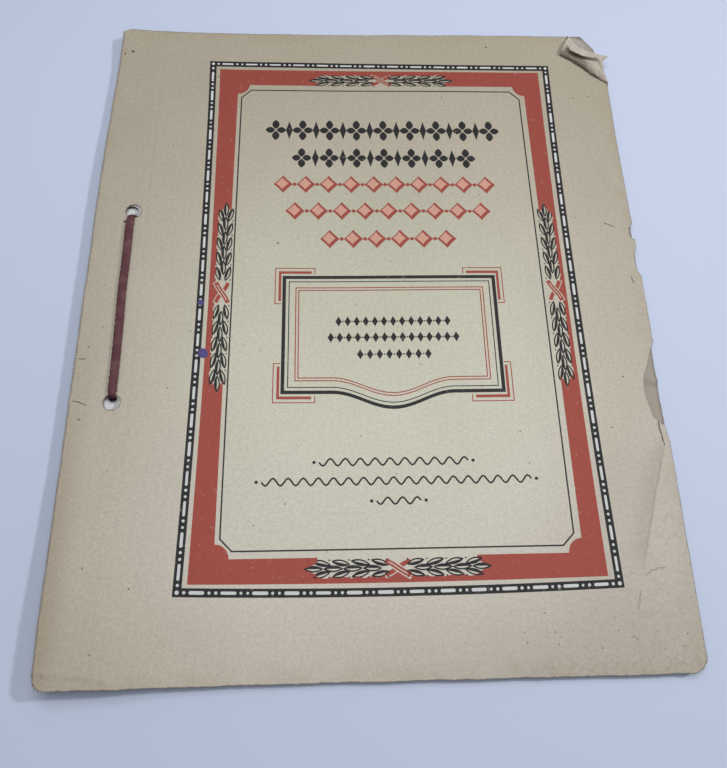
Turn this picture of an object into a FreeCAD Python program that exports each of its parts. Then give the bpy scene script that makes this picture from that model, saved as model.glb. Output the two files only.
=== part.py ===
"""Laced stamp album: two card covers and a block of loose leaves, punched twice at the spine and tied with a cord.

The album lies on its back, front cover up. X runs from the spine to the open edge, Y up the page, Z up.
The origin is under the middle of the covers, on the surface that the album lies on.
The knot behind the back cover lifts the spine, so every sheet falls from there to the surface.
Each sheet that turns is two solids that meet at its crease: a margin held by the cord, and a panel that turns.
"""

import FreeCAD, Part
import math
import os

import Sketcher

doc = FreeCAD.newDocument("stamp_album")

# Driving dimensions, in millimetres
SIZES = {
    # covers and leaves
    "cover_width": 217.0,
    "cover_height": 269.0,
    "cover_thickness": 0.4,
    "leaf_count": 8,
    "leaf_thickness": 0.15,
    "leaf_inset": 0.8,
    "sheet_gap": 0.04,
    # the block was cut slightly out of square
    "top_slant": 0.8,
    "side_slant": 1.0,
    "worn_corner": 4.0,
    "spine_corner": 2.0,
    # standard two-hole punch, smaller holes round the cord in the last leaf, and the crease that the sheets turn on
    "hole_diameter": 6.0,
    "hole_spacing": 80.0,
    "hole_inset": 15.1,
    "last_hole_diameter": 3.2,
    "crease_inset": 20.5,
    "crease_gap": 0.3,
    # how far the knot lifts the spine, and how far from the crease the sheets are flat again
    "spine_lift": 2.8,
    "fall_run": 90.0,
    # cord
    "cord_diameter": 2.7,
    "cord_bend": 1.6,
    "cord_clearance": 0.05,
    "hole_clearance": 0.2,
    "knot_width": 10.6,
    "knot_length": 9.0,
    "knot_round": 1.0,
    "cord_end_length": 8.0,
    # wear along the open edge of the front cover: a notch, a chip and a torn strip, from the top down
    "notch_height": 34.0,
    "notch_length": 6.5,
    "notch_depth": 2.0,
    "chip_height": 23.0,
    "chip_length": 11.5,
    "chip_depth": 1.8,
    "tear_height": -18.0,
    "tear_length": 31.5,
    "tear_depth": 6.0,
    # the corner that is folded over at the top of the open edge
    "ear_along_top": 16.4,
    "ear_along_side": 29.0,
    "ear_flap_width": 8.0,
}
FALL_FACETS = 4
OUTSIDE = 10.0

sheet = doc.addObject("Spreadsheet::Sheet", "dims")
for row, (alias, number) in enumerate(SIZES.items(), start=1):
    sheet.set(f"A{row}", alias)
    sheet.set(f"B{row}", str(number))
    sheet.setAlias(f"B{row}", alias)
doc.recompute()


def value(expression):
    """The number that an expression of the sheet's cells comes to."""
    return float(sheet.evalExpression(expression))


# Places that several pieces share, as expressions of the sheet's cells
HALF_HEIGHT = "dims.cover_height / 2"
SPINE_X = "-dims.cover_width / 2"
OPEN_X = "dims.cover_width / 2"
CREASE_X = f"({SPINE_X} + dims.crease_inset)"
PANEL_X = f"({CREASE_X} + dims.crease_gap / 2)"
MARGIN_END_X = f"({CREASE_X} - dims.crease_gap / 2)"
HOLE_X = f"({SPINE_X} + dims.hole_inset)"
LEAF_PITCH = "(dims.leaf_thickness + dims.sheet_gap)"
FRONT_COVER_Z = f"(dims.cover_thickness + dims.sheet_gap + dims.leaf_count * {LEAF_PITCH})"
FRONT_FACE_Z = f"(dims.spine_lift + {FRONT_COVER_Z} + dims.cover_thickness)"


def leaf_z(number):
    """Height of a leaf over the surface where it lies flat. Leaf 1 is next to the front cover."""
    return f"dims.cover_thickness + dims.sheet_gap + (dims.leaf_count - {number}) * {LEAF_PITCH}"


def top_edge_y(x, inset="0"):
    """Y of the slanted top edge at an X."""
    slope = f"dims.top_slant * ({OPEN_X} - ({x})) / dims.cover_width"
    return f"{HALF_HEIGHT} - {inset} - {slope}"


def open_edge_x(y, inset="0"):
    """X of the slanted open edge at a Y."""
    slope = f"dims.side_slant * ({HALF_HEIGHT} - ({y})) / dims.cover_height"
    return f"{OPEN_X} - {inset} - {slope}"


def new_sketch(body, role, name, lift=None):
    """A sketch on one of a body's own origin planes, raised by an expression if one is given."""
    sketch = body.newObject("Sketcher::SketchObject", name)
    plane = [feature for feature in body.Origin.OriginFeatures if feature.Role == role][0]
    sketch.AttachmentSupport = [(plane, "")]
    sketch.MapMode = "FlatFace"
    if lift:
        sketch.setExpression("AttachmentOffset.Base.z", lift)
    return sketch


def pin(sketch, geometry, end, x, y):
    """Holds a point of a sketch at two expressions."""
    across = Sketcher.Constraint("DistanceX", -1, 1, geometry, end, value(x))
    sketch.setExpression(f"Constraints[{sketch.addConstraint(across)}]", x)
    upward = Sketcher.Constraint("DistanceY", -1, 1, geometry, end, value(y))
    sketch.setExpression(f"Constraints[{sketch.addConstraint(upward)}]", y)


def add_outline(sketch, corners):
    """A closed polygon whose corners are pairs of expressions."""
    points = [FreeCAD.Vector(value(x), value(y), 0) for x, y in corners]
    lines = [
        sketch.addGeometry(Part.LineSegment(start, end), False)
        for start, end in zip(points, points[1:] + points[:1])
    ]
    for line, following in zip(lines, lines[1:] + lines[:1]):
        sketch.addConstraint(Sketcher.Constraint("Coincident", line, 2, following, 1))
    for line, (x, y) in zip(lines, corners):
        pin(sketch, line, 1, x, y)


def add_circle(sketch, x, y, diameter):
    """A circle whose centre and diameter are expressions."""
    centre = FreeCAD.Vector(value(x), value(y), 0)
    circle = sketch.addGeometry(Part.Circle(centre, FreeCAD.Vector(0, 0, 1), value(diameter) / 2), False)
    pin(sketch, circle, 3, x, y)
    size = Sketcher.Constraint("Diameter", circle, value(diameter))
    sketch.setExpression(f"Constraints[{sketch.addConstraint(size)}]", diameter)


def add_punch_holes(sketch, distance="dims.hole_spacing / 2", diameter="dims.hole_diameter"):
    """Two holes at the same distance above and below the middle of the page."""
    for side in ("-", ""):
        add_circle(sketch, HOLE_X, f"{side}{distance}", diameter)


def add_pad(body, sketch, length, symmetric=False):
    """Thickens a sketch."""
    pad = body.newObject("PartDesign::Pad", "pad")
    pad.Profile = sketch
    pad.setExpression("Length", length)
    if symmetric:
        pad.SideType = "Symmetric"
    doc.recompute()
    return pad


def cut_upward(body, sketch):
    """Cuts a sketch of the ground plane up through all of a body, and makes sure that it cut something."""
    before = body.Shape.Volume
    pocket = body.newObject("PartDesign::Pocket", "cut")
    pocket.Profile = sketch
    pocket.Type = "ThroughAll"
    pocket.Reversed = True
    doc.recompute()
    assert body.Shape.Volume < before, f"{body.Label}: a cut took nothing away"


def round_corners(body, radius, corners):
    """Rounds the upright edges of a body that are nearest to some corners of its plan."""
    base = body.Tip
    upright = [
        (f"Edge{number}", edge.CenterOfMass)
        for number, edge in enumerate(base.Shape.Edges, start=1)
        if abs(edge.tangentAt(edge.FirstParameter).z) > 0.999
    ]
    names = []
    for x, y in corners:
        target = (value(x), value(y))
        nearest = min(upright, key=lambda found: math.dist((found[1].x, found[1].y), target))
        names.append(nearest[0])
    fillet = body.newObject("PartDesign::Fillet", "worn_corners")
    fillet.Base = (base, names)
    fillet.setExpression("Radius", radius)
    doc.recompute()


def fall_line(start_x, height="0"):
    """Corners of the line in which a raised sheet falls from its crease and flattens out."""
    return [
        (
            f"{start_x} + dims.fall_run * {step} / {FALL_FACETS}",
            f"{height} + dims.spine_lift * (1 - {step} / {FALL_FACETS}) ^ 2",
        )
        for step in range(FALL_FACETS + 1)
    ]


def add_side_profile(body, thickness, start, edge_x, half_height):
    """The sheet's side view, start to open edge, drawn out to the height of the page."""
    under = start + fall_line(PANEL_X) + [(edge_x, "0")]
    over = [(x, f"{y} + {thickness}") for x, y in reversed(under)]
    sketch = new_sketch(body, "XZ_Plane", "side_view")
    add_outline(sketch, under + over)
    add_pad(body, sketch, f"2 * ({half_height})", symmetric=True)


def trim_to_outline(body, outline):
    """Cuts off what lies outside the sheet's plan."""
    sketch = new_sketch(body, "XY_Plane", "plan")
    beyond_x = f"{OPEN_X} + {OUTSIDE}"
    beyond_y = f"{HALF_HEIGHT} + {OUTSIDE}"
    corners = [
        (f"-({beyond_x})", f"-({beyond_y})"),
        (beyond_x, f"-({beyond_y})"),
        (beyond_x, beyond_y),
        (f"-({beyond_x})", beyond_y),
    ]
    add_outline(sketch, corners)
    add_outline(sketch, outline)
    cut_upward(body, sketch)


def make_margin(label, thickness, inset, height, holes=()):
    """The strip of a sheet between spine and crease, punched for the cord. Holes that aren't the punch's are given."""
    body = doc.addObject("PartDesign::Body", label)
    body.Label = label
    low = f"-{HALF_HEIGHT} + {inset}"
    corners = [
        (SPINE_X, low),
        (MARGIN_END_X, low),
        (MARGIN_END_X, top_edge_y(MARGIN_END_X, inset)),
        (SPINE_X, top_edge_y(SPINE_X, inset)),
    ]
    sketch = new_sketch(body, "XY_Plane", "plan")
    add_outline(sketch, corners)
    add_punch_holes(sketch, *holes)
    add_pad(body, sketch, thickness)
    round_corners(body, "dims.spine_corner", [corners[0], corners[3]])
    body.setExpression("Placement.Base.z", f"dims.spine_lift + {height}")
    return body


def plan_corners(start_x, inset):
    """Bottom and top corners of a sheet's plan at its left and at its open edge, in turn."""
    low = f"-{HALF_HEIGHT} + {inset}"
    high = top_edge_y(OPEN_X, inset)
    return [
        (start_x, low),
        (open_edge_x(low, inset), low),
        (open_edge_x(high, inset), high),
        (start_x, top_edge_y(start_x, inset)),
    ]


def make_leaf_panel(label, height):
    """The part of a leaf that turns."""
    body = doc.addObject("PartDesign::Body", label)
    body.Label = label
    inset = "dims.leaf_inset"
    add_side_profile(body, "dims.leaf_thickness", [], OPEN_X, HALF_HEIGHT)
    corners = plan_corners(f"{CREASE_X} - {OUTSIDE}", inset)
    trim_to_outline(body, corners)
    round_corners(body, "dims.worn_corner", corners[1:3])
    body.setExpression("Placement.Base.z", height)
    return body


def worn_stretch(name):
    """Corners of a worn stretch of the open edge, from the bottom up: back to the edge at both ends."""
    high = f"dims.{name}_height"
    low = f"{high} - dims.{name}_length"
    ease = f"dims.{name}_length / 4"
    return [
        (open_edge_x(low), low),
        (f"{open_edge_x(low)} - dims.{name}_depth", f"{low} + {ease}"),
        (f"{open_edge_x(high)} - dims.{name}_depth", f"{high} - {ease}"),
        (open_edge_x(high), high),
    ]


def make_front_cover_panel():
    """The front cover from its crease to its worn open edge, with one corner folded over on top."""
    body = doc.addObject("PartDesign::Body", "front_cover_panel")
    body.Label = "front_cover_panel"
    add_side_profile(body, "dims.cover_thickness", [], OPEN_X, HALF_HEIGHT)
    first, low_corner, high_corner, last = plan_corners(f"{CREASE_X} - {OUTSIDE}", "0")
    ear_low_y = f"{HALF_HEIGHT} - dims.ear_along_side"
    ear_low = (open_edge_x(ear_low_y), ear_low_y)
    ear_top_x = f"{OPEN_X} - dims.ear_along_top"
    ear_top = (ear_top_x, top_edge_y(ear_top_x))
    worn = worn_stretch("tear") + worn_stretch("chip") + worn_stretch("notch")
    trim_to_outline(body, [first, low_corner] + worn + [ear_low, ear_top, last])
    round_corners(body, "dims.worn_corner", [low_corner])
    ear_tip = (f"{ear_top_x} - dims.ear_flap_width / 4", f"{top_edge_y(ear_top_x)} - dims.ear_flap_width")
    flap = new_sketch(body, "XY_Plane", "folded_corner", "dims.cover_thickness")
    add_outline(flap, [ear_tip, ear_low, ear_top])
    add_pad(body, flap, "dims.cover_thickness")
    body.setExpression("Placement.Base.z", FRONT_COVER_Z)
    return body


def make_back_cover():
    """The back cover, one sheet from spine to open edge, which the album lies on."""
    body = doc.addObject("PartDesign::Body", "back_cover")
    body.Label = "back_cover"
    add_side_profile(body, "dims.cover_thickness", [(SPINE_X, "dims.spine_lift")], OPEN_X, HALF_HEIGHT)
    corners = plan_corners(SPINE_X, "0")
    beyond = [(f"{SPINE_X} - {OUTSIDE} / 2", y) for _, y in (corners[0], corners[3])]
    trim_to_outline(body, [beyond[0], corners[1], corners[2], beyond[1]])
    holes = new_sketch(body, "XY_Plane", "punch_holes")
    add_punch_holes(holes)
    cut_upward(body, holes)
    round_corners(body, "dims.worn_corner", corners[1:3])
    round_corners(body, "dims.spine_corner", [corners[0], corners[3]])
    return body


# Heights and places of the cord's runs
CORD_RADIUS = "dims.cord_diameter / 2"
CORD_FRONT_Z = f"({FRONT_FACE_Z} + dims.cord_clearance + {CORD_RADIUS})"
CORD_BACK_Z = f"(dims.spine_lift - dims.cord_clearance - {CORD_RADIUS})"
CORD_DOWN_Y = (
    f"(dims.hole_spacing / 2 - dims.hole_diameter / 2 + {CORD_RADIUS} + dims.hole_clearance)"
)


def add_cord_path(sketch):
    """Knot, upper hole, front face, lower hole and back to the knot: five straight runs and four tight bends."""
    bend = "dims.cord_bend"
    turn_y = f"({CORD_DOWN_Y} - {bend})"
    runs = [
        [("dims.knot_length / 2", CORD_BACK_Z), (turn_y, CORD_BACK_Z)],
        [(CORD_DOWN_Y, f"{CORD_BACK_Z} + {bend}"), (CORD_DOWN_Y, f"{CORD_FRONT_Z} - {bend}")],
        [(turn_y, CORD_FRONT_Z), (f"-{turn_y}", CORD_FRONT_Z)],
        [(f"-{CORD_DOWN_Y}", f"{CORD_FRONT_Z} - {bend}"), (f"-{CORD_DOWN_Y}", f"{CORD_BACK_Z} + {bend}")],
        [(f"-{turn_y}", CORD_BACK_Z), ("-dims.knot_length / 2", CORD_BACK_Z)],
    ]
    lines = []
    for start, end in runs:
        points = [FreeCAD.Vector(value(x), value(y), 0) for x, y in (start, end)]
        line = sketch.addGeometry(Part.LineSegment(*points), False)
        pin(sketch, line, 1, *start)
        pin(sketch, line, 2, *end)
        lines.append(line)
    radius = value(bend)
    quarter = math.pi / 2
    for number, (before, after) in enumerate(zip(lines, lines[1:])):
        start = sketch.Geometry[before].EndPoint
        along = start - sketch.Geometry[before].StartPoint
        along.normalize()
        centre = start + FreeCAD.Vector(-along.y, along.x, 0) * radius
        circle = Part.Circle(centre, FreeCAD.Vector(0, 0, 1), radius)
        first_angle = (number - 1) * quarter
        arc = sketch.addGeometry(Part.ArcOfCircle(circle, first_angle, first_angle + quarter), False)
        sketch.addConstraint(Sketcher.Constraint("Coincident", before, 2, arc, 1))
        sketch.addConstraint(Sketcher.Constraint("Coincident", arc, 2, after, 1))
        size = Sketcher.Constraint("Radius", arc, radius)
        sketch.setExpression(f"Constraints[{sketch.addConstraint(size)}]", bend)
        print(f"cord bend {number + 1}: radius {radius:.2f} mm")


def make_cord():
    """The cord from one side of the knot, up one hole, along the front and down the other hole to the knot."""
    body = doc.addObject("PartDesign::Body", "lacing_cord")
    body.Label = "lacing_cord"
    path = new_sketch(body, "YZ_Plane", "route")
    add_cord_path(path)
    section = new_sketch(body, "XZ_Plane", "section", "-dims.knot_length / 2")
    add_circle(section, "0", CORD_BACK_Z, "dims.cord_diameter")
    doc.recompute()
    pipe = body.newObject("PartDesign::AdditivePipe", "cord")
    pipe.Profile = section
    pipe.Spine = path
    body.setExpression("Placement.Base.x", HOLE_X)
    doc.recompute()
    swept = math.pi * value(CORD_RADIUS) ** 2 * path.Shape.Length
    print(f"cord length {path.Shape.Length:.1f} mm, volume {body.Shape.Volume:.1f} mm3, section by length {swept:.1f} mm3")
    return body


def make_knot():
    """The knot between back cover and surface, as one rounded block."""
    block = doc.addObject("Part::Box", "knot_block")
    block.setExpression("Length", "dims.knot_width")
    block.setExpression("Width", "dims.knot_length")
    block.setExpression("Height", "dims.spine_lift - dims.cord_clearance")
    block.setExpression("Placement.Base.x", f"{HOLE_X} - dims.knot_width / 2")
    block.setExpression("Placement.Base.y", "-dims.knot_length / 2")
    doc.recompute()
    knot = doc.addObject("Part::Fillet", "lacing_knot")
    knot.Base = block
    radius = value("dims.knot_round")
    knot.Edges = [(number, radius, radius) for number in range(1, len(block.Shape.Edges) + 1)]
    knot.Label = "lacing_knot"
    doc.recompute()
    return knot


def make_cord_end(label, side):
    """One cut end of the cord, which lies on the surface beside the run that goes to the hole."""
    end = doc.addObject("Part::Cylinder", label)
    end.Label = label
    end.setExpression("Radius", CORD_RADIUS)
    end.setExpression("Height", "dims.cord_end_length")
    end.Placement.Rotation = FreeCAD.Rotation(FreeCAD.Vector(1, 0, 0), -90 * side)
    sign = "" if side > 0 else "-"
    beside = f"(dims.knot_width / 2 - dims.knot_round - {CORD_RADIUS})"
    end.setExpression("Placement.Base.x", f"{HOLE_X} + ({sign}{beside})")
    end.setExpression("Placement.Base.y", f"{sign}dims.knot_length / 2")
    end.setExpression("Placement.Base.z", CORD_RADIUS)
    return end


sub_parts = [make_back_cover()]
last_leaf = int(value("leaf_count"))
for number in range(1, last_leaf + 1):
    holes = (CORD_DOWN_Y, "dims.last_hole_diameter") if number == last_leaf else ()
    margin = make_margin(f"leaf_{number}_margin", "dims.leaf_thickness", "dims.leaf_inset", leaf_z(number), holes)
    panel = make_leaf_panel(f"leaf_{number}_panel", leaf_z(number))
    sub_parts += [margin, panel]
sub_parts.append(make_margin("front_cover_margin", "dims.cover_thickness", "0", FRONT_COVER_Z))
sub_parts.append(make_front_cover_panel())
sub_parts.append(make_cord())
sub_parts.append(make_knot())
sub_parts.append(make_cord_end("cord_end_upper", 1))
sub_parts.append(make_cord_end("cord_end_lower", -1))
doc.recompute()

for item in doc.Objects:
    assert not {"Invalid", "Error"} & set(item.State), f"{item.Label} failed: {item.State}"
for item in sub_parts:
    assert not item.Shape.isNull() and item.Shape.isValid(), f"{item.Label} has no valid shape"
    assert len(item.Shape.Solids) == 1, f"{item.Label} is {len(item.Shape.Solids)} solids"

print(f"crease at x {value(CREASE_X):.3f}, front face of the margin at z {value(FRONT_FACE_Z):.3f}")
os.makedirs("parts", exist_ok=True)
for item in sub_parts:
    item.Shape.exportStep(f"parts/{item.Label}.step")
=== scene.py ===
import math
import random
from functools import partial

import bpy
import numpy as np
from mathutils import Matrix, Vector
from mathutils.geometry import delaunay_2d_cdt


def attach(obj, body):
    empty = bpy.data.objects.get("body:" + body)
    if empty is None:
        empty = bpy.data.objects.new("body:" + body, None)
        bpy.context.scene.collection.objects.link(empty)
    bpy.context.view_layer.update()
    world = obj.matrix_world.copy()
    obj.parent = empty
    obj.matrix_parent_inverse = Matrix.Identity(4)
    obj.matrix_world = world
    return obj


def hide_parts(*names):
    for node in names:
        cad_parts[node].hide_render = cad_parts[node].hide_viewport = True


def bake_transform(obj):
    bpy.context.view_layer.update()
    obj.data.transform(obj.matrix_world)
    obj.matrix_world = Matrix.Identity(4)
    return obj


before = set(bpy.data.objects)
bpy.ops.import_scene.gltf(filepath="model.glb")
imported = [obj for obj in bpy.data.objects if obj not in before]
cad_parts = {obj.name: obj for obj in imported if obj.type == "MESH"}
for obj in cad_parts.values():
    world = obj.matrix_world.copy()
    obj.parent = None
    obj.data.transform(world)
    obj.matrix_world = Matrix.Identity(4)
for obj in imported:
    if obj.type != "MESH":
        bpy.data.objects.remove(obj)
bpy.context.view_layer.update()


# STUDIO
# A pale, slightly blue table top under an even sky, a broad soft lamp overhead and a smaller lamp at
# the right that draws the shadows, seen from above and a little in front.

def srgb(red, green, blue):
    """A colour given in screen values of 0 to 255, as linear values."""
    linear = []
    for level in (red, green, blue):
        part = level / 255
        linear.append(part / 12.92 if part <= 0.04045 else ((part + 0.055) / 1.055) ** 2.4)
    return (*linear, 1.0)


def add_node(tree, kind, inputs=None, **settings):
    """Add a node whose inputs are wired to a socket or set to a constant."""
    node = tree.nodes.new(kind)
    for key, setting in settings.items():
        setattr(node, key, setting)
    for key, source in (inputs or {}).items():
        if isinstance(source, bpy.types.NodeSocket):
            tree.links.new(source, node.inputs[key])
        else:
            node.inputs[key].default_value = source
    return node


def tree_of(*sources):
    """The node tree that the first socket among some sources belongs to."""
    return next(source.id_data for source in sources if isinstance(source, bpy.types.NodeSocket))


def noise(tree, scale, detail, **inputs):
    """Cloudy values from 0 to 1."""
    inputs.update(Scale=scale, Detail=detail)
    return add_node(tree, "ShaderNodeTexNoise", inputs).outputs["Fac"]


def blend_colour(factor, first, second, mode="MIX"):
    """One colour laid over another."""
    inputs = {0: factor, 6: first, 7: second}
    tree = tree_of(factor, first, second)
    return add_node(tree, "ShaderNodeMix", inputs, data_type="RGBA", blend_type=mode).outputs[2]


def new_material(name):
    """A material with its principled shader ready to be wired."""
    material = bpy.data.materials.new(name)
    material.use_nodes = True
    tree = material.node_tree
    return material, tree, tree.nodes["Principled BSDF"].inputs


def blotted(name, scale, detail, dark, light, roughness, shine=0.5):
    """A plain finish, a little uneven in tone."""
    material, tree, surface = new_material(name)
    tree.links.new(blend_colour(noise(tree, scale, detail), dark, light), surface["Base Color"])
    surface["Roughness"].default_value = roughness
    surface["Specular IOR Level"].default_value = shine
    return material


def put(name, data):
    """An object of the scene."""
    obj = bpy.data.objects.new(name, data)
    bpy.context.scene.collection.objects.link(obj)
    return obj


def put_mesh(name, points, polygons, material):
    """An object with smooth faces."""
    mesh = bpy.data.meshes.new(name)
    mesh.from_pydata(points, [], polygons)
    mesh.polygons.foreach_set("use_smooth", [True] * len(polygons))
    mesh.materials.append(material)
    return put(name, mesh)


table_half = 1.5
table_drop = 0.00005
table_corners = np.array([(-1, -1, 0), (1, -1, 0), (1, 1, 0), (-1, 1, 0)]) * table_half - (0, 0, table_drop)
table = put_mesh("table", table_corners.tolist(), [(0, 1, 2, 3)],
                 blotted("table_top", 9.0, 3.0, srgb(190, 200, 222), srgb(197, 207, 231), 0.8, 0.2))

world = bpy.data.worlds.new("sky")
world.use_nodes = True
sky = world.node_tree.nodes["Background"].inputs
sky["Color"].default_value = (1.0, 1.0, 1.0, 1.0)
sky["Strength"].default_value = 0.235
bpy.context.scene.world = world

for label, size, energy, location in (("soft_lamp", 0.5, 2.1, (-0.023, 0.125, 0.575)),
                                      ("shadow_lamp", 0.07, 3.75, (0.7, 0.14, 0.65))):
    lamp_data = bpy.data.lights.new(label, "AREA")
    lamp_data.size = size
    lamp_data.energy = energy
    lamp = put(label, lamp_data)
    lamp.location = location
    lamp.rotation_euler = (-Vector(location)).to_track_quat("-Z", "Y").to_euler()

camera_data = bpy.data.cameras.new("camera")
camera_data.lens = 31.336
camera_data.sensor_width = 36.0
camera = put("camera", camera_data)
camera.matrix_world = Matrix(((0.999269, 0.010373, -0.0368, -0.012333),
                              (-0.022151, 0.941568, -0.336094, -0.116469),
                              (0.031163, 0.336663, 0.941109, 0.234418),
                              (0.0, 0.0, 0.0, 1.0)))
bpy.context.scene.camera = camera
bpy.context.scene.view_settings.view_transform = "Standard"


# BACK COVER
# One sheet of buff card, 0.4 mm thick, punched with two holes for the cord. It lies flat on the
# table and climbs to the spine, where the knot behind it holds it up.

mm = 0.001
page_width = 217.0
page_height = 269.0
half_width = page_width / 2
half_height = page_height / 2
holes_at = ((-92.9, 39.2), (-93.4, -40.5))
hole_radius = 3.0
card_thickness = 0.4


def ramp(value, start, end):
    """Smooth step from 0 at start to 1 at end."""
    part = np.clip((value - start) / (end - start), 0.0, 1.0)
    return part * part * (3.0 - 2.0 * part)


def fall(x):
    """Height of the raised spine, and of the slope from it down to the table."""
    slope_start = -87.85
    slope_run = 90.0
    spine_lift = 2.8
    part = np.clip((x - slope_start) / slope_run, 0.0, 1.0)
    return spine_lift * (1.0 - part) ** 2


def warp(x, y, level):
    """How far a sheet at a level from 0 to 1 curls up at its corners and sags at the top of the spine."""
    top_left = 1.6 * ramp(y, 112.0, 134.0) * ramp(x, -88.0, -108.0)
    bottom_left = 2.4 * ramp(y, -50.0, -130.0) * ramp(x, -55.0, -108.0)
    right = 0.5 * ramp(x, 60.0, 108.0) * (0.5 + 0.5 * np.sin(y / 34.0 + 0.6))
    sag = 1.1 * ramp(y, 45.0, 110.0) * ramp(x, -20.0, -95.0)
    return (0.35 + 0.65 * level) * (top_left + bottom_left + right) - sag


def top_edge(x):
    """Height of the top edge on the page: the sheets are cut a little out of square."""
    return half_height - 0.8 * (half_width - x) / page_width


def open_edge(y):
    """Distance of the open edge from the middle of the page."""
    return half_width - 1.0 * (half_height - y) / page_height


def spine_edge(y):
    """Place of the spine edge across the page: trimmed a little skew, and worn back towards the top."""
    return -108.4 + 0.8 * ramp(y, -60.0, 60.0) + 2.4 * ramp(y, 60.0, 150.0) + 0.6 * ramp(y, -60.0, -130.0)


def circle(x, y, radius, count=40):
    """A round loop of points."""
    turns = [math.tau * i / count for i in range(count)]
    return [(x + radius * math.cos(turn), y + radius * math.sin(turn)) for turn in turns]


def worn_line(start, end, wear, rng, step=1.5):
    """Points from start up to end, eaten into by small random nicks on the left-hand side."""
    length = math.dist(start, end)
    count = max(2, int(length / step))
    left = (-(end[1] - start[1]) / length, (end[0] - start[0]) / length)
    points = []
    for i in range(count):
        part = i / count
        bite = wear * (0.6 * rng.random() + 0.4 * (0.5 + 0.5 * math.sin(9.0 * part * length / 40.0)))
        points.append((start[0] + (end[0] - start[0]) * part + left[0] * bite,
                       start[1] + (end[1] - start[1]) * part + left[1] * bite))
    return points


def worn_path(corners, wear, rng, step=1.5):
    """A worn line through several corners, up to the last."""
    points = []
    for start, end in zip(corners, corners[1:]):
        points += worn_line(start, end, wear, rng, step)
    return points


def corner_arc(centre, radius, start_angle, wear, rng, count=7):
    """A worn quarter-round corner, counter-clockwise from an angle in degrees."""
    points = []
    for i in range(count):
        angle = math.radians(start_angle + 90.0 * i / count)
        reach = radius - wear * rng.random()
        points.append((centre[0] + reach * math.cos(angle), centre[1] + reach * math.sin(angle)))
    return points


def inside_loop(points, loop):
    """True for each point that lies in a closed loop."""
    ring = np.asarray(loop, float)
    inside = np.zeros(len(points), bool)
    near = np.flatnonzero(((points >= ring.min(axis=0)) & (points <= ring.max(axis=0))).all(axis=1))
    x, y = points[near].T
    odd = np.zeros(len(near), bool)
    for (ax, ay), (bx, by) in zip(ring, np.roll(ring, -1, axis=0)):
        if ay != by:
            odd ^= ((ay > y) != (by > y)) & (x < ax + (bx - ax) * (y - ay) / (by - ay))
    inside[near] = odd
    return inside


def away_from(points, loops, gap):
    """True for each point further than a gap from every line of the loops."""
    clear = np.ones(len(points), bool)
    for loop in loops:
        ring = np.asarray(loop, float)
        for a, b in zip(ring, np.roll(ring, -1, axis=0)):
            run = b - a
            part = np.clip((points - a) @ run / max(run @ run, 1e-9), 0.0, 1.0)
            clear &= ((points - a - part[:, None] * run) ** 2).sum(axis=1) > gap * gap
    return clear


def triangulate(loops, free_points):
    """Corner points and triangles of the plane cut along the loops."""
    corners = []
    edges = []
    for loop in loops:
        first = len(corners)
        corners.extend(loop)
        edges.extend((first + i, first + (i + 1) % len(loop)) for i in range(len(loop)))
    corners.extend(map(tuple, free_points))
    found = delaunay_2d_cdt([Vector(corner) for corner in corners], edges, [], 0, 1e-6)
    flat = np.array([tuple(corner) for corner in found[0]])
    faces = np.array([tuple(face) for face in found[2] if len(face) == 3])
    first = flat[faces[:, 1]] - flat[faces[:, 0]]
    second = flat[faces[:, 2]] - flat[faces[:, 0]]
    area = first[:, 0] * second[:, 1] - first[:, 1] * second[:, 0]
    faces[area < 0] = faces[area < 0][:, ::-1]
    return flat, faces[np.abs(area) > 1e-9]


def closed_sheet(name, flat, faces, place, thickness, material, sharp=45.0):
    """A closed sheet over triangles on the page. Place turns page points and a height into space."""
    used, faces = np.unique(faces, return_inverse=True)
    faces = faces.reshape(-1, 3)
    flat = flat[used]
    count = len(flat)
    space = np.vstack([place(flat[:, 0], flat[:, 1], thickness), place(flat[:, 0], flat[:, 1], 0.0)]) * mm
    directed = np.vstack([faces[:, [0, 1]], faces[:, [1, 2]], faces[:, [2, 0]]])
    known = set(map(tuple, directed))
    rim = [(a, b) for a, b in map(tuple, directed) if (b, a) not in known]
    polygons = [*faces, *(faces[:, ::-1] + count), *((b, a, a + count, b + count) for a, b in rim)]
    obj = put_mesh(name, space.tolist(), [tuple(map(int, polygon)) for polygon in polygons], material)
    mesh = obj.data
    mesh.set_sharp_from_angle(angle=math.radians(sharp))

    page = np.vstack([flat, flat]) / (page_width, page_height) + 0.5
    corners = np.empty(len(mesh.loops), int)
    mesh.loops.foreach_get("vertex_index", corners)
    mesh.uv_layers.new(name="page").data.foreach_set("uv", page[corners].ravel())
    furthest = 9.0
    batch = 200
    rim_points = flat[np.unique(np.array(rim))]
    edge_gap = np.full(count, furthest)
    for start in range(0, len(rim_points), batch):
        away = np.linalg.norm(flat[:, None] - rim_points[None, start:start + batch], axis=2)
        edge_gap = np.minimum(edge_gap, away.min(axis=1))
    half = len(faces)
    for label, domain, marks in (("edge_gap", "POINT", np.concatenate([edge_gap, edge_gap])),
                                 ("rim", "FACE", np.repeat([0.0, 0.0, 1.0], [half, half, len(rim)])),
                                 ("inner", "FACE", np.repeat([0.0, 1.0, 0.0], [half, half, len(rim)]))):
        mesh.attributes.new(label, "FLOAT", domain).data.foreach_set("value", marks)
    return obj


def page_grid(x_step, y_step, low=(-108.0, -134.0), high=(half_width, half_height)):
    """Free points over a stretch of the page, every other row shifted by half a step."""
    rows = int((high[1] - low[1]) / y_step) + 1
    columns = int((high[0] - low[0]) / x_step) + 1
    return np.array([(low[0] + (i + 0.5 * (j % 2)) * x_step, low[1] + j * y_step)
                     for j in range(rows) for i in range(columns)])


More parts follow.
